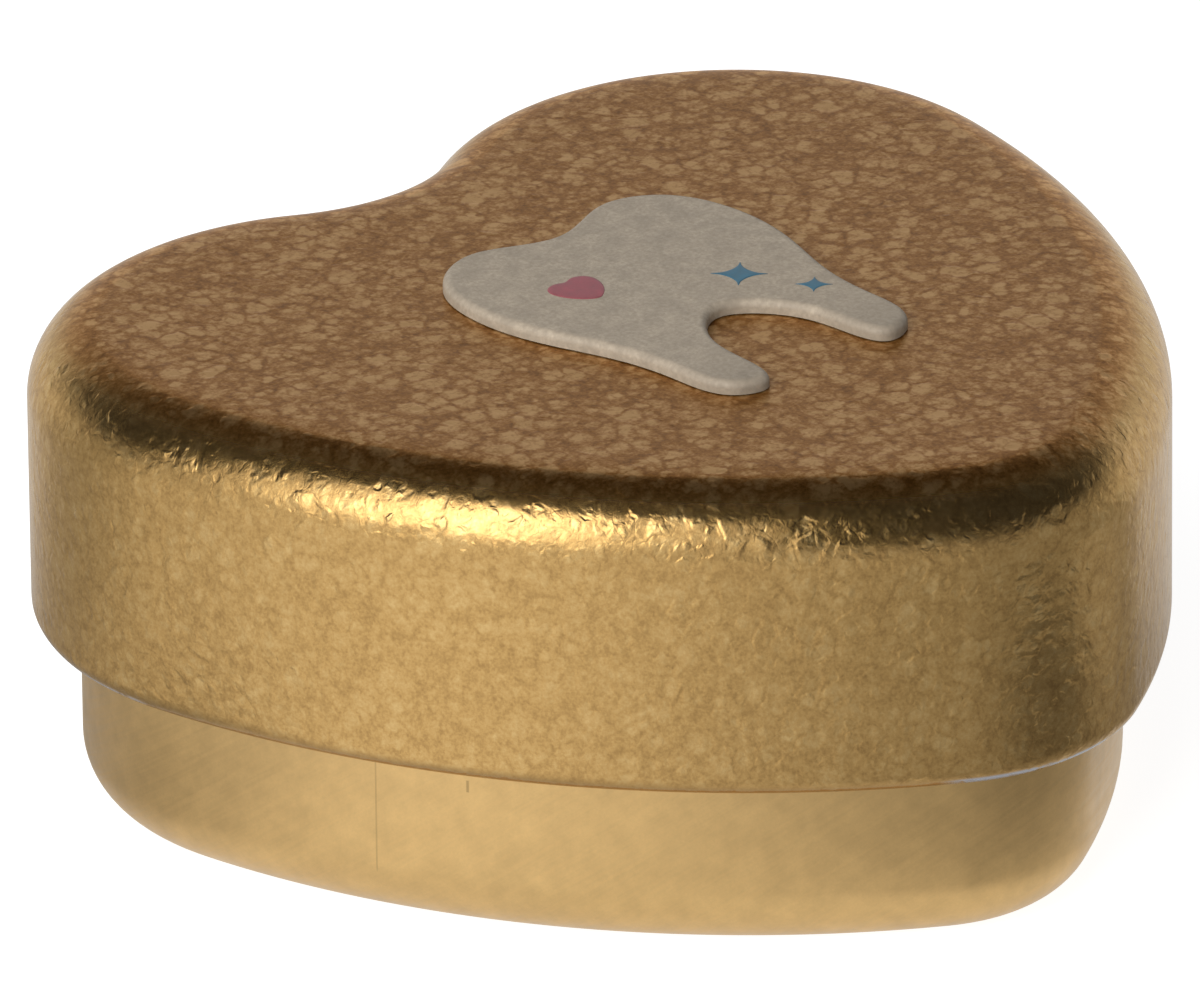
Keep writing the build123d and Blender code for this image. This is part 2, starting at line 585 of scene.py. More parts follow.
def make_pebbles(name):
    """Pebbles of crackled lacquer, softly domed, with wrinkles between some of them.

    Gives how pale each pebble is, where the wrinkles run, and the height in millimetres.
    """
    inputs = {"Vector": None, "Size": 0.8, "Warp": 0.4, "Tilt": 0.1, "Rise": 0.004, "Wrinkle": 0.06}
    group, given, out = new_group(name, inputs, ("Pebble", "Gap", "Height"))
    warp_fineness, break_fineness, rim_width = 1.6, 0.9, 3.2
    smallest_core, largest_core, falloff = 0.18, 0.4, 0.4
    least_pale = 0.22
    spot, wrinkle = given["Vector"], given["Wrinkle"]
    scale = maths(group, "DIVIDE", 1.0, given["Size"])
    cloud = noise(group, spot, product(group, scale, warp_fineness), Detail=2.0)
    reach = product(group, given["Warp"], given["Size"])
    shift = vectors(group, "SCALE", offset(group, cloud["Color"]), scale=reach)
    place = vectors(group, "ADD", spot, shift)
    inputs = {"Vector": place, "Scale": scale}
    cells = add(group, "ShaderNodeTexVoronoi", inputs, feature="F1").outputs
    edges = add(group, "ShaderNodeTexVoronoi", inputs, feature="DISTANCE_TO_EDGE").outputs
    chance = add(group, "ShaderNodeSeparateColor", {0: cells["Color"]}).outputs
    core = choose(group, chance[1], smallest_core, largest_core)
    inside = ramp(group, maths(group, "SUBTRACT", cells["Distance"], core), 0.0, falloff, 1.0, 0.0)
    rim = ramp(group, edges["Distance"], 0.0, product(group, wrinkle, rim_width))
    inside = product(group, inside, rim)
    paleness = choose(group, chance[0], least_pale, 1.0)
    group.links.new(product(group, inside, paleness), out["Pebble"])
    gap = ramp(group, edges["Distance"], 0.0, wrinkle, 1.0, 0.0)
    breaks = noise(group, spot, product(group, scale, break_fineness))
    gap = product(group, gap, ramp(group, breaks["Fac"], 0.42, 0.62))
    group.links.new(gap, out["Gap"])
    away = vectors(group, "SUBTRACT", place, cells["Position"])
    slope = vectors(group, "DOT_PRODUCT", offset(group, cells["Color"]), away)
    tilt = product(group, given["Tilt"], inside)
    raised = maths(group, "SUBTRACT", inside, gap)
    group.links.new(weighted(group, (slope, tilt), (raised, given["Rise"])), out["Height"])
    return group


def make_mottle(name):
    """Soft cloudy variation of a lacquer or enamel, from 0 to 1."""
    group, given, out = new_group(name, {"Vector": None, "Size": 4.0, "Contrast": 1.0}, ("Mask",))
    scale = maths(group, "DIVIDE", 1.0, given["Size"])
    cloud = noise(group, given["Vector"], scale, Detail=5.0, Roughness=0.6)
    spread = product(group, maths(group, "SUBTRACT", cloud["Fac"], 0.5), given["Contrast"])
    group.links.new(maths(group, "ADD", spread, 0.5, clamp=True), out["Mask"])
    return group


def mottle(tree, places, size, contrast):
    """The shared mottling at one size, as its mask."""
    return use_group(tree, "Mottle", make_mottle, places, Size=size, Contrast=contrast)["Mask"]


def make_brushing(name):
    """Fine straight rolling marks across the sheet: a mask from 0 to 1."""
    inputs = {"Vector": None, "Spacing": 0.12, "Length": 6.0, "Angle": 0.6}
    group, given, out = new_group(name, inputs, ("Mask",))
    turned = add(
        group,
        "ShaderNodeVectorRotate",
        {"Vector": given["Vector"], "Axis": (1.0, 0.4, 0.0), "Angle": given["Angle"]},
        rotation_type="AXIS_ANGLE",
    ).outputs[0]
    fine = maths(group, "DIVIDE", 1.0, given["Spacing"])
    long = maths(group, "DIVIDE", 1.0, given["Length"])
    stretch = add(group, "ShaderNodeCombineXYZ", {"X": long, "Y": long, "Z": fine}).outputs[0]
    drawn = vectors(group, "MULTIPLY", turned, stretch)
    marks = noise(group, drawn, 1.0, Detail=3.0, Roughness=0.55)
    group.links.new(ramp(group, marks["Fac"], 0.3, 0.7), out["Mask"])
    return group


def make_edge_rub_and_reflection(name):
    """Where handling has rubbed the lacquer off a fold, a mark that also stands in for a painted
    reflection along it: at one height, and round one spot.
    """
    inputs = {"Vector": None, "Level": 0.0, "Reach": 0.2, "Spot": None, "Spread": 8.0}
    group, given, out = new_group(name, inputs, ("Mask",))
    places = given["Vector"]
    away = maths(group, "ABSOLUTE", maths(group, "SUBTRACT", height_of(group, places), given["Level"]))
    level = ramp(group, maths(group, "DIVIDE", away, given["Reach"]), 0.4, 1.0, 1.0, 0.0)
    along = vectors(group, "DISTANCE", places, given["Spot"])
    near = ramp(group, maths(group, "DIVIDE", along, given["Spread"]), 0.8, 1.0, 1.0, 0.0)
    broken = ramp(group, noise(group, places, 1.4, Detail=4.0)["Fac"], 0.34, 0.5)
    group.links.new(product(group, product(group, level, near), broken), out["Mask"])
    return group


def make_fine_line(name):
    """A fine upright scratch at one place of a wall, between two heights."""
    inputs = {"Vector": None, "Place": None, "Low": 0.0, "High": 5.0, "Width": 0.05}
    group, given, out = new_group(name, inputs, ("Mask",))
    height = height_of(group, given["Vector"])
    level = vectors(group, "MULTIPLY", given["Vector"], (1.0, 1.0, 0.0))
    away = vectors(group, "DISTANCE", level, given["Place"])
    near = ramp(group, maths(group, "DIVIDE", away, given["Width"]), 0.4, 1.0, 1.0, 0.0)
    above = maths(group, "GREATER_THAN", height, given["Low"])
    below = maths(group, "LESS_THAN", height, given["High"])
    group.links.new(product(group, near, product(group, above, below)), out["Mask"])
    return group


# Materials. Their coordinates and reliefs are in millimetres.


def new_material(name, metallic, coat=0.0, coat_roughness=0.1):
    """A material, its node tree, its Principled shader and its surface coordinates."""
    material = bpy.data.materials.new(name)
    material.use_nodes = True
    tree = material.node_tree
    tree.nodes.clear()
    shader = add(
        tree,
        "ShaderNodeBsdfPrincipled",
        {"Metallic": metallic, "Coat Weight": coat, "Coat Roughness": coat_roughness},
    )
    add(tree, "ShaderNodeOutputMaterial", {"Surface": shader.outputs[0]})
    places = vectors(tree, "SCALE", add(tree, "ShaderNodeTexCoord").outputs["Object"], scale=1 / MM)
    return material, tree, shader, places


def finish_material(tree, shader, colour, roughness, relief=None):
    """Links a colour, a roughness and a relief to the shader."""
    tree.links.new(colour, shader.inputs["Base Color"])
    tree.links.new(roughness, shader.inputs["Roughness"])
    if relief is not None:
        bump = add(tree, "ShaderNodeBump", {"Height": relief, "Distance": MM, "Strength": 1.0})
        tree.links.new(bump.outputs[0], shader.inputs["Normal"])


# Where the lid's lower edge is rubbed and holds a painted reflection of the table: place across the tin,
# reach round it, and how bare it is
RUBBED_AND_REFLECTING_SPOTS = (
    (1.2, -20.9, 7.0, 1.0),
    (-22.1, 10.6, 3.6, 0.6),
)


def rubbed_edge_and_reflection(tree, places, edge):
    """How bare the lid's rolled edge is, where its colour also stands in for a painted reflection of the
    table.
    """
    above, reach = 0.22, 0.3
    worn_and_reflecting = 0.0
    for x, y, spread, bare in RUBBED_AND_REFLECTING_SPOTS:
        spot = (x, y, edge)
        values = {"Level": edge + above, "Reach": reach, "Spot": spot, "Spread": spread}
        rub_and_reflection = use_group(tree, "Edge rub and reflection", make_edge_rub_and_reflection, places, **values)
        worn_and_reflecting = maths(tree, "ADD", product(tree, rub_and_reflection["Mask"], bare), worn_and_reflecting)
    return worn_and_reflecting


def crackled_gold(colours):
    """Crackled gold lacquer on the outside of the lid, browner and thicker on top, with painted shade on
    the flat top and under the rolled edge, and a rubbed edge whose colour also stands in for a painted
    reflection.
    """
    material, tree, shader, places = new_material("crackled_gold", 1.0, coat=0.12, coat_roughness=0.2)
    shader.inputs["Specular Tint"].default_value = (1.0, 0.94, 0.84, 1.0)
    upward = height_of(tree, add(tree, "ShaderNodeNewGeometry").outputs["Normal"])
    topside = ramp(tree, upward, 0.72, 0.985)
    flat = ramp(tree, upward, 0.99, 0.999)
    shoulder = product(tree, ramp(tree, upward, 0.1, 0.3), ramp(tree, upward, 0.6, 0.8, 1.0, 0.0))
    tucked_shade = ramp(tree, upward, -0.7, -0.05, 0.8, 0.0)

    values = {"Size": 1.1, "Warp": 0.45, "Tilt": 0.08, "Rise": 0.002, "Wrinkle": 0.05}
    large = use_group(tree, "Pebbles", make_pebbles, places, **values)
    values = {"Size": 0.57, "Warp": 0.5, "Tilt": 0.12, "Rise": 0.0014, "Wrinkle": 0.08}
    small = use_group(tree, "Pebbles", make_pebbles, places, **values)
    patches = mottle(tree, places, 1.7, 2.6)
    flecks = mottle(tree, places, 0.45, 3.0)
    grain = mottle(tree, places, 0.14, 3.0)
    pebbles = weighted(tree, (large["Pebble"], 0.55), (small["Pebble"], 0.45))
    wrinkles = maths(tree, "MAXIMUM", large["Gap"], product(tree, small["Gap"], 0.7))
    tone = weighted(
        tree,
        (pebbles, choose(tree, topside, 0.5, 1.0)),
        (patches, 0.22),
        (flecks, 0.4),
        (grain, 0.42),
        (wrinkles, -0.08),
    )

    deep = blend(tree, topside, tinted(colours.skirt_deep), tinted(colours.panel_deep))
    middle = blend(tree, topside, tinted(colours.skirt_gold), tinted(colours.panel_gold))
    pale = blend(tree, topside, tinted(colours.skirt_pale), tinted(colours.panel_pale))
    colour = blend(tree, ramp(tree, tone, 0.18, 0.6, smooth=False), deep, middle)
    colour = blend(tree, ramp(tree, tone, 0.6, 1.15, smooth=False), colour, pale)
    cracks = product(tree, product(tree, wrinkles, shoulder), 0.18)
    colour = blend(tree, cracks, colour, tinted(colours.skirt_deep, 0.4))
    # Painted shade: the downward-facing underside of the rolled edge is darkened
    colour = blend(tree, tucked_shade, colour, tinted(colours.skirt_deep, 0.7))
    # Painted shade: the flat top is darkened towards black
    colour = blend(tree, product(tree, flat, 0.28), colour, (0.0, 0.0, 0.0, 1.0))
    worn_and_reflecting = rubbed_edge_and_reflection(tree, places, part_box("lid_shell")[0].z / MM)
    # Rubbed bare edge, whose colour also stands in for a painted reflection of the table
    colour = blend(tree, worn_and_reflecting, colour, tinted(colours.worn_edge_and_reflection))
    metal = maths(tree, "SUBTRACT", choose(tree, flat, 1.0, 0.75), worn_and_reflecting, clamp=True)
    tree.links.new(metal, shader.inputs["Metallic"])

    heights = weighted(tree, (grain, 0.0012), (large["Height"], 1.0), (small["Height"], 1.0))
    strength = maths(tree, "ADD", choose(tree, topside, 1.0, 0.6), product(tree, shoulder, 0.1))
    relief = product(tree, heights, strength)
    finish_material(tree, shader, colour, choose(tree, topside, 0.2, 0.36), relief)
    return material


# Scratches down the base's wall: place across the tin, lower and upper end, width, and depth of tone
SCRATCHES = (
    (-18.49, -1.42, 2.0, 12.0, 0.05, 0.3),
    (-16.81, -4.88, 6.4, 6.9, 0.08, 0.5),
)


def satin_gold(colours):
    """Smooth satin gold lacquer on the outside of the base, with rolling marks and two scratches."""
    material, tree, shader, places = new_material("satin_gold", 1.0, coat=0.25, coat_roughness=0.25)
    gold = colours.base_gold
    cloud = mottle(tree, places, 1.1, 2.2)
    grain = mottle(tree, places, 0.1, 2.0)
    values = {"Spacing": 0.14, "Length": 5.0, "Angle": 0.62}
    marks = use_group(tree, "Brushing", make_brushing, places, **values)["Mask"]
    colour = shades(tree, cloud, gold, 0.84, 1.04)
    colour = blend(tree, product(tree, grain, 0.25), colour, tinted(gold, 0.7))
    colour = blend(tree, product(tree, marks, 0.14), colour, tinted(gold, 1.2))
    for x, y, low, high, width, depth in SCRATCHES:
        values = {"Place": (x, y, 0.0), "Low": low, "High": high, "Width": width}
        line = use_group(tree, "Fine line", make_fine_line, places, **values)["Mask"]
        colour = blend(tree, product(tree, line, depth), colour, tinted(gold, 0.3))
    relief = weighted(tree, (marks, 0.0012), (cloud, 0.004))
    finish_material(tree, shader, colour, choose(tree, marks, 0.34, 0.42), relief)
    return material


def bare_tin(colours):
    """Bare tinplate on the inside of both shells."""
    material, tree, shader, places = new_material("bare_tin", 0.8)
    values = {"Spacing": 0.1, "Length": 7.0, "Angle": 1.2}
    marks = use_group(tree, "Brushing", make_brushing, places, **values)["Mask"]
    colour = shades(tree, mottle(tree, places, 2.5, 1.8), colours.tin, 0.86, 1.06)
    finish_material(tree, shader, colour, choose(tree, marks, 0.3, 0.42), product(tree, marks, 0.0015))
    return material


def ivory_enamel(colours):
    """Matt ivory enamel on the tooth, slightly grainy, with painted shade towards the ends of the roots.
    """
    material, tree, shader, places = new_material("ivory_enamel", 0.0)
    cloud = mottle(tree, places, 0.9, 3.2)
    grain = mottle(tree, places, 0.2, 3.4)
    colour = shades(tree, cloud, colours.ivory, 0.9, 1.2)
    colour = blend(tree, product(tree, grain, 0.6), colour, tinted(colours.ivory, 0.72))
    along = add(tree, "ShaderNodeSeparateXYZ", {0: places}).outputs["Y"]
    # Painted shade: mottled darkening towards the ends of the roots
    root_shade = product(tree, ramp(tree, along, -7.8, -3.5, 0.8, 0.0), cloud)
    colour = blend(tree, root_shade, colour, tinted(colours.ivory, 0.6))
    finish_material(tree, shader, colour, choose(tree, grain, 0.42, 0.6), product(tree, grain, 0.006))
    return material


def painted_mark(name, colour):
    """Coloured enamel of a painted mark."""
    material, tree, shader, places = new_material(name, 0.0)
    cloud = mottle(tree, places, 0.35, 2.0)
    colour = shades(tree, cloud, colour, 0.8, 1.2)
    finish_material(tree, shader, colour, choose(tree, cloud, 0.34, 0.5), product(tree, cloud, 0.004))
    return material


def adhesive_film(colours):
    """Cloudy adhesive film under the tooth."""
    material, tree, shader, places = new_material("adhesive_film", 0.0)
    cloud = mottle(tree, places, 0.8, 1.5)
    colour = shades(tree, cloud, colours.ivory, 1.1, 1.5)
    finish_material(tree, shader, colour, choose(tree, cloud, 0.3, 0.5))
    return material


def shared(name, make):
    """A material that is made the first time it is asked for."""
    return bpy.data.materials.get(name) or make(bpy.context.scene.tooth_tin.colours)


# Pieces


# Steps along the folds of the two sections
EASE_STEPS = 8
SHOULDER_STEPS = 20
HEEL_STEPS = 18
CURL_STEPS = 26
INNER_CURL_STEPS = 18
INNER_STEPS = 14
FOOT_STEPS = 5

# Slope that the lid's top has reached where the round of its shoulder starts
EASE_SLOPE = math.radians(3)


class TOOTHTIN_OT_lid(bpy.types.Operator):
    """Build the lid: panel, shoulder, skirt and rolled lower edge"""

    bl_idname = "toothtin.lid"
    bl_label = "Lid"

    def execute(self, context):
        shape = context.scene.tooth_tin.shape
        low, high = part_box("lid_shell")
        top, bottom = high.z, low.z
        sheet, corner, curl = shape.sheet, shape.shoulder_radius, shape.lid_curl_radius
        ease, slope = shape.shoulder_ease, EASE_SLOPE
        start = corner * (1 - math.sin(slope))
        flat = start + ease + 2 * sheet
        turn = math.pi + shape.curl_turn
        outer = [(flat, top)]
        for i in range(EASE_STEPS):
            t = i / EASE_STEPS
            outer.append((start + ease * (1 - t), top - slope * ease * t**2 / 2))
        centre = top - slope * ease / 2 - corner * math.cos(slope)
        outer += arc(corner, centre, corner, math.pi / 2 + slope, math.pi, SHOULDER_STEPS)
        outer += arc(curl, bottom + curl, curl, math.pi, turn, CURL_STEPS)
        inner = arc(curl, bottom + curl, curl - sheet, turn, math.pi, INNER_CURL_STEPS)
        inner += arc(corner, top - corner, corner - sheet, math.pi, math.pi / 2, INNER_STEPS)
        inner += [(flat, top - sheet)]
        finishes = [shared("crackled_gold", crackled_gold), shared("bare_tin", bare_tin)]
        lid = drawn_shell("lid", outer, inner, finishes)
        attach(lid, "lid")
        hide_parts("lid_shell")
        return {"FINISHED"}


class TOOTHTIN_OT_base(bpy.types.Operator):
    """Build the base: raised bottom panel, foot ring, heel, wall and rolled rim"""

    bl_idname = "toothtin.base"
    bl_label = "Base"

    def execute(self, context):
        shape = context.scene.tooth_tin.shape
        low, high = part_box("base_shell")
        lid_low, lid_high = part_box("lid_shell")
        inset = (lid_high.x - lid_low.x - high.x + low.x) / 2
        sheet, heel_r, curl = shape.sheet, shape.heel_radius, shape.rim_curl_radius
        heel = inset + heel_r
        foot = heel + shape.foot_width
        panel = foot + shape.foot_slope
        flat = panel + 3 * sheet
        rise = shape.foot_rise
        turn = math.pi - shape.curl_turn
        down = 1.5 * math.pi
        under = [(flat, rise), (panel, rise), (foot, 0.0), (heel + sheet, 0.0)]
        outer = rounded(under, 2 * sheet, FOOT_STEPS)
        outer += arc(heel, heel_r, heel_r, down, math.pi, HEEL_STEPS)
        outer += arc(inset + curl, high.z - curl, curl, math.pi, turn, CURL_STEPS)
        inner = arc(inset + curl, high.z - curl, curl - sheet, turn, math.pi, INNER_CURL_STEPS)
        inner += arc(heel, heel_r, heel_r - sheet, math.pi, down, INNER_STEPS)
        floor = [(heel + sheet, sheet), (foot, sheet), (panel, rise + sheet), (flat, rise + sheet)]
        inner += rounded(floor, 2 * sheet, FOOT_STEPS)
        finishes = [shared("satin_gold", satin_gold), shared("bare_tin", bare_tin)]
        base = drawn_shell("base", outer, inner, finishes)
        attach(base, "base")
        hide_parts("base_shell")
        return {"FINISHED"}


# Right half of the tooth, from the dip between the cusps to the fork between the roots.
# Each pair is a share of the half width and a share of the length above the root tips.
TOOTH_HALF_SHARES = [
    (0.00, 0.935),
    (0.22, 0.960),
    (0.50, 1.000),
    (0.82, 0.945),
    (0.99, 0.765),
    (0.94, 0.560),
    (0.80, 0.380),
    (0.74, 0.200),
    (0.63, 0.030),
    (0.47, 0.010),
    (0.36, 0.160),
    (0.24, 0.310),
    (0.00, 0.380),
]

# Insets of the inner side of the tooth's turned-down edge and of its flat top, as shares of the
# radius of its upper edge
LIP_SHARE = 0.9
FLAT_TOP_SHARE = 1.3
TOOTH_EDGE_STEPS = 8


def closed_curve(points, count):
    """Points and inward normals on the smooth closed curve through points that run clockwise."""
    knots = np.array(points, float)
    number = len(knots)
    steps = np.linalg.norm(np.roll(knots, -1, 0) - knots, axis=1)
    before = np.roll(steps, 1)
    system = np.zeros((number, number))
    for i in range(number):
        system[i, i - 1] = steps[i]
        system[i, i] = 2 * (steps[i] + before[i])
        system[i, (i + 1) % number] = before[i]
    ahead = (np.roll(knots, -1, 0) - knots) / steps[:, None]
    behind = np.roll(ahead, 1, 0)
    slopes = np.linalg.solve(system, 3 * (steps[:, None] * behind + before[:, None] * ahead))
    stations = np.linspace(0, steps.sum(), count, endpoint=False)
    starts = np.concatenate([[0], np.cumsum(steps)])
    made, normals = [], []
    for s in stations:
        i = min(int(np.searchsorted(starts, s, side="right")) - 1, number - 1)
        h, t = steps[i], (s - starts[i]) / steps[i]
        p, q, m, n = knots[i], knots[(i + 1) % number], slopes[i], slopes[(i + 1) % number]
        place = (
            (2 * t**3 - 3 * t**2 + 1) * p
            + (t**3 - 2 * t**2 + t) * h * m
            + (3 * t**2 - 2 * t**3) * q
            + (t**3 - t**2) * h * n
        )
        run = (
            (6 * t**2 - 6 * t) * (p - q) / h
            + (3 * t**2 - 4 * t + 1) * m
            + (3 * t**2 - 2 * t) * n
        )
        run /= np.linalg.norm(run)
        made.append(place)
        normals.append((run[1], -run[0]))
    return made, normals


class TOOTHTIN_OT_tooth(bpy.types.Operator):
    """Build the raised tooth with its rounded upper edge"""

    bl_idname = "toothtin.tooth"
    bl_label = "Tooth"

    def execute(self, context):
        tooth = context.scene.tooth_tin.tooth
        low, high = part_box("tooth_emblem")
        widest = max(x for x, _ in TOOTH_HALF_SHARES)
        lowest = min(y for _, y in TOOTH_HALF_SHARES)
        half = (high.x - low.x) / 2 / widest
        length = (high.y - low.y) / (1 - lowest)
        root = high.y - length
        right = [(half * x, root + length * y) for x, y in TOOTH_HALF_SHARES]
        left = [(-x, y) for x, y in reversed(right[1:-1])]
        places, normals = closed_curve(right + left, tooth.outline_points)
        top = high.z - tooth.paint
        radius = tooth.edge_radius
        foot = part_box("lid_shell")[1].z + tooth.foot_gap
        section = [(radius, low.z), (radius * LIP_SHARE, foot), (0.0, foot)]
        section += arc(radius, top - radius, radius, math.pi, math.pi / 2, TOOTH_EDGE_STEPS)
        section += [(radius * FLAT_TOP_SHARE, top)]
        made = bmesh.new()
        rings = []
        for inset, height in section:
            points = ((p[0] + n[0] * inset, p[1] + n[1] * inset, height) for p, n in zip(places, normals))
            rings.append(ring_of(made, points))
        for first, second in zip(rings, rings[1:]):
            bridge(made, first, second)
        made.faces.new(rings[0])
        made.faces.new(rings[-1])
        for ring in rings[:3]:
            harden(made, ring)
        plate = finish_mesh(made, "tooth", [shared("ivory_enamel", ivory_enamel)])
        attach(plate, "lid")
        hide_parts("tooth_emblem")
        return {"FINISHED"}


# Places of the painted marks, as shares of the tooth's half width and of its length from its middle
SPARKLE_SHARES = (0.37, -0.03)
SMALL_SPARKLE_SHARES = (0.57, -0.195)
HEART_SHARES = (-0.41, 0.16)

# A power below 1 hollows the sides of a sparkle
SPARKLE_POWER = 0.6
SPARKLE_POINTS = 72

# How much wider than on the tin the stations of the small heart are spaced, before it is scaled
HEART_SPACING = 4.0


def sparkle_outline(x, y, width):
    """Four-pointed sparkle with hollow sides and softened points."""
    reach = width / 2 / math.sqrt(2)
    outline = []
    for i in range(SPARKLE_POINTS):
        a = math.tau * i / SPARKLE_POINTS
        c, s = math.cos(a), math.sin(a)
        spread = (abs(c) ** SPARKLE_POWER + abs(s) ** SPARKLE_POWER) ** (-1 / SPARKLE_POWER)
        outline.append((x + reach * spread * (c - s), y + reach * spread * (c + s)))
    return outline


def heart_outline(x, y, width):
    """The outline of the tin itself, at the size of a painted mark."""
    low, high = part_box("lid_shell")
    grow = width / (high.x - low.x)
    points = [station(ray, 0.0) for ray in tin_rays(HEART_SPACING)]
    return [(x + px * grow, y + py * grow) for px, py in points]


class TOOTHTIN_OT_marks(bpy.types.Operator):
    """Paint two sparkles and a small heart on the tooth"""

    bl_idname = "toothtin.marks"
    bl_label = "Painted marks"

    def execute(self, context):
        settings = context.scene.tooth_tin
        tooth, colours = settings.tooth, settings.colours
        low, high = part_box("tooth_emblem")
        mid_x, mid_y = (low.x + high.x) / 2, (low.y + high.y) / 2
        half, length = (high.x - low.x) / 2, high.y - low.y
        blue = painted_mark("blue_enamel", colours.blue)
        rose = painted_mark("rose_enamel", colours.rose)
        marks = (
            ("sparkle_large", sparkle_outline, SPARKLE_SHARES, tooth.sparkle, blue),
            ("sparkle_small", sparkle_outline, SMALL_SPARKLE_SHARES, tooth.small_sparkle, blue),
            ("small_heart", heart_outline, HEART_SHARES, tooth.heart, rose),
        )
        for name, draw, (across, along), width, enamel in marks:
            outline = draw(mid_x + half * across, mid_y + length * along, width)
            mark = dome(name, outline, high.z - tooth.paint, tooth.paint, enamel)
            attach(mark, "lid")
        return {"FINISHED"}


class TOOTHTIN_OT_adhesive(bpy.types.Operator):
    """Finish the adhesive film under the tooth"""

    bl_idname = "toothtin.adhesive"
    bl_label = "Adhesive film"

    def execute(self, context):
        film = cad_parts["glue_pad"]
        film.data.materials.clear()
        film.data.materials.append(shared("adhesive_film", adhesive_film))
        return {"FINISHED"}


# Stage. Turns, bearings and rises in its tables are in degrees, and distances in metres.


# How far from the softbox's heading the pale studio fades
GLOW_REACH = 76.0

# Where it comes up again behind the tin: bearings from the camera's heading, and levels there
REAR_GLOW = (90.0, 142.0, 0.0, 0.40)

# The softbox in gloss: turn from its heading, bearings at which it starts to fade and is gone, and
# share of its level
SOFTBOX_LOBES = (
    (1.0, 30.0, 43.0, 0.32),
    (-2.0, 2.0, 27.0, 1.0),
)

# Rises between which the softbox comes up in gloss, and between which it goes out
SOFTBOX_FOOT = (4.0, 34.0)
SOFTBOX_HEAD = (52.0, 66.0)

# Rises between which the studio fades to its ceiling: in front, behind the tin, and for matt surfaces
RIM_FADE = (0.0, 34.0)
REAR_FADE = (24.0, 39.0)
MATT_FADE = (4.0, 62.0)

# Bearings from straight behind the tin at which the rear gives way to the front
REAR_SPREAD = (24.0, 46.0)

# Painted shadows and a painted pool of light on the table, as gloss sees them: turn from the camera's
# heading, distance from the tin's middle, inner and outer radius, and how much darker
PAINTED_TABLE_LIGHT_AND_SHADE = (
    (55, 0.042, 0.004, 0.018, 0.17),
    (-68, 0.031, 0.003, 0.013, 0.22),
    (82, 0.052, 0.006, 0.020, -0.09),
)

# Painted light on the table under and next to the tin, as gloss sees it: the radii where it ends, and its
# level
NEAR_TABLE = (0.020, 0.027)
NEAR_LEVEL = 0.78

# How much darker the table is in gloss than the studio over it
TABLE_LOSS = 0.12

# Glow of the table to the camera and to matt surfaces, and its white in plain light and in gloss
CAMERA_GLOW = 0.88
MATT_GLOW = 0.4
PLAIN_WHITE = 0.42
GLOSS_WHITE = 0.10

# The table's half width, and how far it lies under the foot, so the two don't share a plane
TABLE_HALF = 1.5
TABLE_DROP = 0.02 * MM

# Watts for each square metre of the lamp, at level 1
LAMP_WATTS = 4.0


def heading(turn, rise=0.0):
    """Direction at a turn about the tin and a rise above the table, both in radians."""
    flat = math.cos(rise)
    return Vector((math.sin(turn) * flat, -math.cos(turn) * flat, math.sin(rise)))


def light_path(tree):
    """Whether a ray comes from the camera or from gloss, as two output sockets."""
    path = add(tree, "ShaderNodeLightPath").outputs
    return path["Is Camera Ray"], path["Is Glossy Ray"]


def bearing(tree, towards, turn):
    """Degrees between a direction and a turn about the tin in radians, from 0 to 180."""
    across = (math.cos(turn), math.sin(turn), 0.0)
    parts = [vectors(tree, "DOT_PRODUCT", towards, way) for way in (across, heading(turn))]
    angle = maths(tree, "ABSOLUTE", maths(tree, "ARCTAN2", *parts))
    return product(tree, angle, math.degrees(1))


def front_glow(tree, towards, stage):
    """Level of the pale studio seen in gloss: brightest round the softbox's heading."""
    away = bearing(tree, towards, stage.azimuth + stage.light_turn)
    front = ramp(tree, away, 0.0, GLOW_REACH, stage.bright_level, stage.dim_level)
    rear = ramp(tree, bearing(tree, towards, stage.azimuth), *REAR_GLOW)
    return maths(tree, "ADD", front, rear)


def studio_world(stage):
    """White to the camera, pale for matt surfaces, and for gloss a pale rim under a dark ceiling."""
    world = bpy.data.worlds.new("studio")
    bpy.context.scene.world = world
    world.use_nodes = True
    tree = world.node_tree
    tree.nodes.clear()
    towards = add(tree, "ShaderNodeTexCoord").outputs["Generated"]
    rise = product(tree, maths(tree, "ARCSINE", height_of(tree, towards)), math.degrees(1))
    ceiling = stage.ceiling_share
    front = product(tree, front_glow(tree, towards, stage), ramp(tree, rise, *RIM_FADE, 1.0, ceiling))
    softbox = 0.0
    for turn, inner, outer, share in SOFTBOX_LOBES:
        away = bearing(tree, towards, stage.azimuth + stage.light_turn + math.radians(turn))
        softbox = maths(tree, "ADD", ramp(tree, away, inner, outer, share, 0.0), softbox)
    softbox = product(tree, softbox, ramp(tree, rise, *SOFTBOX_FOOT))
    softbox = product(tree, softbox, ramp(tree, rise, *SOFTBOX_HEAD, stage.softbox_level, 0.0))
    front = maths(tree, "ADD", front, softbox)
    rear = ramp(tree, rise, *REAR_FADE, stage.rear_level, ceiling * stage.dim_level)
    from_rear = bearing(tree, towards, stage.azimuth + math.pi)
    seen = choose(tree, ramp(tree, from_rear, *REAR_SPREAD), rear, front)
    matt = ramp(tree, rise, *MATT_FADE, stage.plain_level, stage.plain_level * ceiling)
    camera, gloss = light_path(tree)
    level = choose(tree, camera, choose(tree, gloss, matt, seen), 1.0)
    shade = add(tree, "ShaderNodeBackground", {"Color": (1.0, 1.0, 1.0, 1.0), "Strength": level})
    add(tree, "ShaderNodeOutputWorld", {"Surface": shade.outputs[0]})


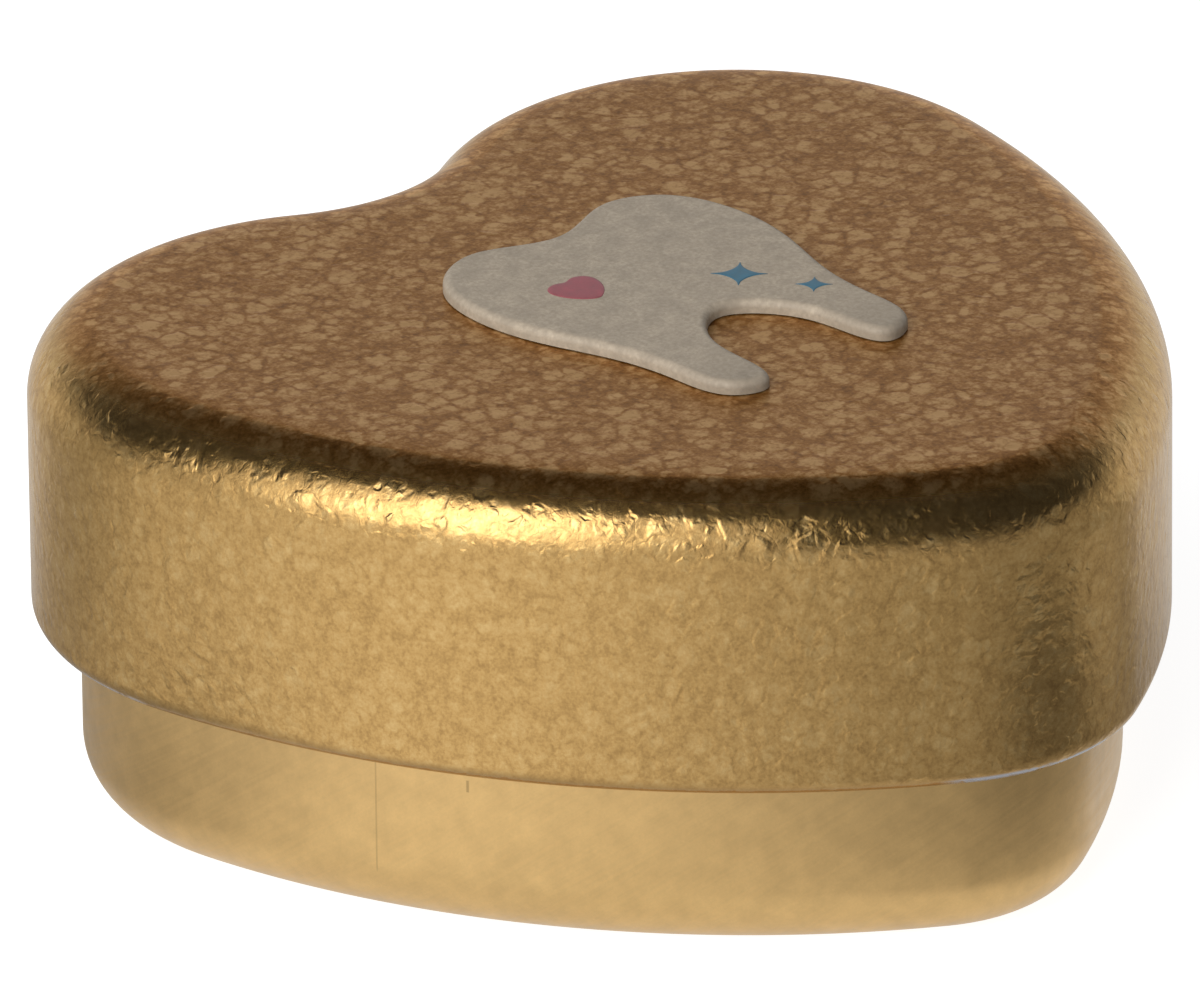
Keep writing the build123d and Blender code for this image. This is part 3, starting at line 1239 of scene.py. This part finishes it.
def white_table(stage):
    """A broad white table top that keeps the tin's shadow, and in gloss glows as the studio does, with
    painted shadows and painted light round the tin.
    """
    material = bpy.data.materials.new("table_white")
    material.use_nodes = True
    tree = material.node_tree
    tree.nodes.clear()
    spot = add(tree, "ShaderNodeTexCoord").outputs["Object"]
    # In gloss the table glows with the studio's pattern: a painted pool of light
    glow = front_glow(tree, spot, stage)
    # Painted shadows and a painted pool of light, seen in gloss
    for turn, distance, inner, outer, depth in PAINTED_TABLE_LIGHT_AND_SHADE:
        place = distance * heading(stage.azimuth + math.radians(turn))
        away = vectors(tree, "DISTANCE", spot, place)
        glow = maths(tree, "SUBTRACT", glow, ramp(tree, away, inner, outer, depth, 0.0))
    radius = vectors(tree, "LENGTH", spot)
    # Painted light: the table under and next to the tin is brighter in gloss
    glow = choose(tree, ramp(tree, radius, *NEAR_TABLE), NEAR_LEVEL, glow)
    glow = maths(tree, "SUBTRACT", glow, TABLE_LOSS)
    camera, gloss = light_path(tree)
    white = choose(tree, gloss, PLAIN_WHITE, GLOSS_WHITE)
    white = add(tree, "ShaderNodeCombineXYZ", {0: white, 1: white, 2: white}).outputs[0]
    matt = add(tree, "ShaderNodeBsdfDiffuse", {"Color": white})
    level = choose(tree, gloss, choose(tree, camera, MATT_GLOW, CAMERA_GLOW), glow)
    lit = add(tree, "ShaderNodeEmission", {"Color": (1.0, 1.0, 1.0, 1.0), "Strength": level})
    both = add(tree, "ShaderNodeAddShader", {0: matt.outputs[0], 1: lit.outputs[0]})
    add(tree, "ShaderNodeOutputMaterial", {"Surface": both.outputs[0]})

    corners = [
        (x * TABLE_HALF, y * TABLE_HALF, -TABLE_DROP) for x, y in ((-1, -1), (1, -1), (1, 1), (-1, 1))
    ]
    mesh = bpy.data.meshes.new("table_top")
    mesh.from_pydata(corners, [], [(0, 1, 2, 3)])
    make_object("table_top", mesh, [material])


def soft_light(name, turn, rise, distance, width, height, level):
    """A rectangular soft light on matt surfaces, facing the tin. Gloss sees the world's instead."""
    spot = heading(turn, rise) * distance
    lamp = bpy.data.lights.new(name, "AREA")
    lamp.shape = "RECTANGLE"
    lamp.size, lamp.size_y = width, height
    lamp.energy = level * LAMP_WATTS * width * height
    thing = bpy.data.objects.new(name, lamp)
    thing.location = spot
    thing.rotation_mode = "QUATERNION"
    thing.rotation_quaternion = spot.to_track_quat("Z", "Y")
    thing.visible_glossy = False
    bpy.context.scene.collection.objects.link(thing)


def set_camera(scene, stage):
    """Stands the camera where the photograph was taken from."""
    back = heading(stage.azimuth, stage.elevation)
    right = Vector((math.cos(stage.azimuth), math.sin(stage.azimuth), 0.0))
    up = back.cross(right)
    middle = Vector((0.0, 0.0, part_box("lid_shell")[1].z / 2))
    eye = middle + back * stage.distance
    aim = middle + right * stage.aim_right + up * stage.aim_up
    lens = bpy.data.cameras.new("camera")
    lens.sensor_width = 36.0
    lens.lens = lens.sensor_width * stage.distance / stage.field_width
    lens.clip_start = 0.01
    camera = bpy.data.objects.new("camera", lens)
    camera.location = eye
    camera.rotation_mode = "QUATERNION"
    lean = Matrix.Rotation(stage.roll, 4, "Z").to_quaternion()
    camera.rotation_quaternion = (aim - eye).to_track_quat("-Z", "Y") @ lean
    scene.collection.objects.link(camera)
    scene.camera = camera


class TOOTHTIN_OT_stage(bpy.types.Operator):
    """Set the table, the lights and the camera"""

    bl_idname = "toothtin.stage"
    bl_label = "Stage"

    def execute(self, context):
        stage = context.scene.tooth_tin.stage
        studio_world(stage)
        white_table(stage)
        soft_light(
            "softbox",
            turn=stage.azimuth + stage.light_turn,
            rise=math.radians(38),
            distance=0.5,
            width=0.48,
            height=0.40,
            level=stage.lamp_level,
        )
        set_camera(context.scene, stage)
        context.scene.view_settings.view_transform = "Standard"
        return {"FINISHED"}


class TOOTHTIN_PT_panel(bpy.types.Panel):
    """Lists the tin's settings and steps"""

    bl_label = "Tooth Tin"
    bl_idname = "TOOTHTIN_PT_panel"
    bl_space_type = "VIEW_3D"
    bl_region_type = "UI"
    bl_category = "Tooth Tin"

    def draw(self, context):
        settings = context.scene.tooth_tin
        for group in (settings.shape, settings.tooth, settings.colours, settings.stage):
            box = self.layout.box()
            for name in group.__annotations__:
                box.prop(group, name)
        for step in STEPS:
            self.layout.operator(step.bl_idname)


STEPS = (
    TOOTHTIN_OT_stage,
    TOOTHTIN_OT_base,
    TOOTHTIN_OT_lid,
    TOOTHTIN_OT_adhesive,
    TOOTHTIN_OT_tooth,
    TOOTHTIN_OT_marks,
)
CLASSES = (TinShape, ToothShape, TinColours, TinStage, ToothTinSettings, *STEPS, TOOTHTIN_PT_panel)


def register():
    """Adds the tin's classes, and its settings to the scene."""
    for made in CLASSES:
        bpy.utils.register_class(made)
    bpy.types.Scene.tooth_tin = PointerProperty(type=ToothTinSettings)


def unregister():
    """Takes the tin's settings and classes away again."""
    del bpy.types.Scene.tooth_tin
    for made in reversed(CLASSES):
        bpy.utils.unregister_class(made)


def main():
    """Builds the stage and the pieces."""
    register()
    bpy.ops.toothtin.stage()
    bpy.ops.toothtin.base()
    bpy.ops.toothtin.lid()
    bpy.ops.toothtin.adhesive()
    bpy.ops.toothtin.tooth()
    bpy.ops.toothtin.marks()


if __name__ == "__main__":
    main()
